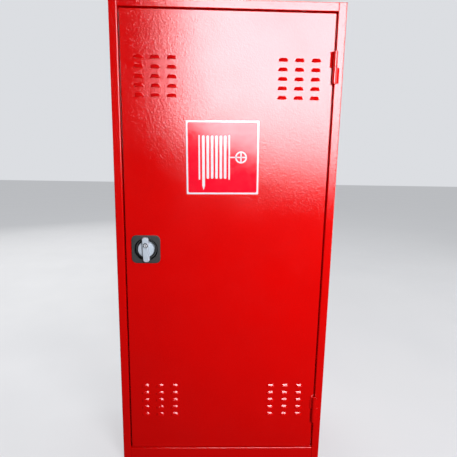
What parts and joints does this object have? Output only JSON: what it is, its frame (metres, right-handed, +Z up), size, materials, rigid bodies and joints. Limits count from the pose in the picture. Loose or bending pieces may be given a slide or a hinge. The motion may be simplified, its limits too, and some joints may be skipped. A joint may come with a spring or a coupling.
{
  "type": "standpipe cabinet",
  "caption": "Surface-mounted red sheet-steel standpipe cabinet with a louvred door, quarter-turn latch, swing-out hose cradle and angle valve.",
  "frame": {"origin": "middle of the underside of the cabinet's base", "axes": "+Z up, -Y out of the door, +X to the right of someone who faces the door (the hinge side)"},
  "size_m": [0.567, 0.2423, 1.178],
  "materials": {
    "red_powder_coat": "semi-gloss powder coat with a fine orange peel",
    "handwheel_enamel": "glossy enamel on a casting",
    "black_plastic": "fine-grained moulded plastic",
    "grey_plastic": "satin moulded plastic",
    "sign_film": "crimson print with a white border and pictogram",
    "zinc_steel": "zinc-plated, satin",
    "cast_brass": "as-cast brass, machined at the joints",
    "cast_aluminium": "machined casting, satin",
    "black_rubber": "moulded rubber, matte"
  },
  "bodies": {
    "cabinet": {"back_panel": "red_powder_coat", "left_side_panel": "red_powder_coat", "right_side_panel": "red_powder_coat", "top_panel": "red_powder_coat", "bottom_panel": "red_powder_coat", "left_door_stop": "red_powder_coat", "right_door_stop": "red_powder_coat", "top_door_stop": "red_powder_coat", "bottom_door_stop": "red_powder_coat", "shelf": "red_powder_coat", "left_shelf_bracket": "red_powder_coat", "right_shelf_bracket": "red_powder_coat", "top_hinge_frame_knuckle": "red_powder_coat", "top_hinge_pin": "red_powder_coat", "bottom_hinge_frame_knuckle": "red_powder_coat", "bottom_hinge_pin": "red_powder_coat", "cradle_top_bracket": "red_powder_coat", "cradle_bottom_bracket": "red_powder_coat", "cradle_pivot_rod": "zinc_steel", "inlet_nipple": "zinc_steel", "outer_locknut": "zinc_steel", "inner_locknut": "zinc_steel", "valve_body": "cast_brass", "valve_bonnet": "cast_brass", "gland_nut": "cast_brass", "outlet_coupling": "cast_aluminium", "coupling_gasket": "black_rubber"},
    "door": {"door_panel": "red_powder_coat", "door_stiffener": "red_powder_coat", "sign_plate": "sign_film", "top_hinge_door_knuckle": "red_powder_coat", "bottom_hinge_door_knuckle": "red_powder_coat", "lock_escutcheon": "black_plastic", "lock_retaining_nut": "black_plastic"},
    "latch": {"latch_handle": "grey_plastic", "latch_spindle": "zinc_steel", "latch_cam": "zinc_steel", "latch_cam_screw": "zinc_steel"},
    "lock": {"lock_cylinder": "zinc_steel"},
    "hose_cradle": {"cradle_back_plate": "red_powder_coat", "cradle_tray": "red_powder_coat", "cradle_spine": "red_powder_coat", "cradle_left_cheek": "red_powder_coat", "cradle_front_bar": "zinc_steel", "cradle_top_sleeve": "red_powder_coat", "cradle_bottom_sleeve": "red_powder_coat"},
    "disc": {"valve_disc": "cast_brass", "disc_seal": "black_rubber"},
    "stem": {"valve_stem": "zinc_steel", "handwheel": "handwheel_enamel", "handwheel_nut": "zinc_steel"}
  },
  "joints": [
    {"name": "door_swing", "type": "hinge", "parent": "cabinet", "child": "door", "pos_m": [0.248, -0.1209, 0.59], "axis": [0, 0, 1], "range_deg": [0, 170]},
    {"name": "hose_cradle_swing", "type": "hinge", "parent": "cabinet", "child": "hose_cradle", "pos_m": [0.228, -0.062, 0.78], "axis": [0, 0, 1], "range_deg": [0, 85]},
    {"name": "latch_turn", "type": "hinge", "parent": "door", "child": "latch", "pos_m": [-0.196, -0.11, 0.6], "axis": [0, 1, 0], "range_deg": [0, 90]},
    {"name": "lock_cylinder_turn", "type": "hinge", "parent": "latch", "child": "lock", "pos_m": [-0.196, -0.12, 0.611], "axis": [0, 1, 0], "range_deg": [0, 90]},
    {"name": "valve_lift", "type": "slide", "parent": "cabinet", "child": "disc", "axis": [1, 0, 0], "range_m": [0, 0.012]},
    {"name": "handwheel_turn", "type": "hinge", "parent": "disc", "child": "stem", "pos_m": [-0.066, 0.035, 1.07], "axis": [1, 0, 0], "range_deg": [0, 1080]}
  ],
  "couplings": [
    {"joint": "hose_cradle_swing", "follows": "door_swing", "ratio": 0.5},
    {"joint": "valve_lift", "follows": "handwheel_turn", "m_per_rad": 0.00063662}
  ]
}
